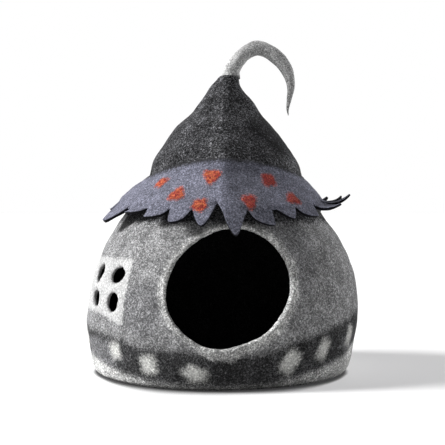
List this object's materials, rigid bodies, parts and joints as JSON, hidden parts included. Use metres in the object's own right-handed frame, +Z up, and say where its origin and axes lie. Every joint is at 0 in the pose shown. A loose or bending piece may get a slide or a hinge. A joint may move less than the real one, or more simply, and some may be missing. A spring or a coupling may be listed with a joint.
{
  "type": "felt cat cave",
  "caption": "Freestanding domed wool-felt pet house with a round door, small windows, a pointed roof, a leaf-edged collar and a hooked tip.",
  "frame": {"origin": "middle of the flat base, on the floor", "axes": "+Z up through the roof's point; -Y out of the door; +X to the side that the tail hooks over, with the windows on the -X side"},
  "size_m": [0.4489, 0.4485, 0.5479],
  "materials": {
    "grey_wool": "matt marled wool felt",
    "blue_grey_wool": "matt wool felt",
    "pale_wool": "matt wool felt",
    "orange_wool": "matt needled wool"
  },
  "bodies": {
    "root": {"cave_shell": "grey_wool", "leaf_collar": "blue_grey_wool", "tail_curl": "pale_wool", "collar_spot_01": "orange_wool", "collar_spot_02": "orange_wool", "collar_spot_03": "orange_wool", "collar_spot_04": "orange_wool", "collar_spot_05": "orange_wool", "collar_spot_06": "orange_wool", "collar_spot_07": "orange_wool", "collar_spot_08": "orange_wool", "collar_spot_09": "orange_wool", "collar_spot_10": "orange_wool", "collar_spot_11": "orange_wool", "collar_spot_12": "orange_wool", "collar_spot_13": "orange_wool", "collar_spot_14": "orange_wool"}
  },
  "joints": []
}
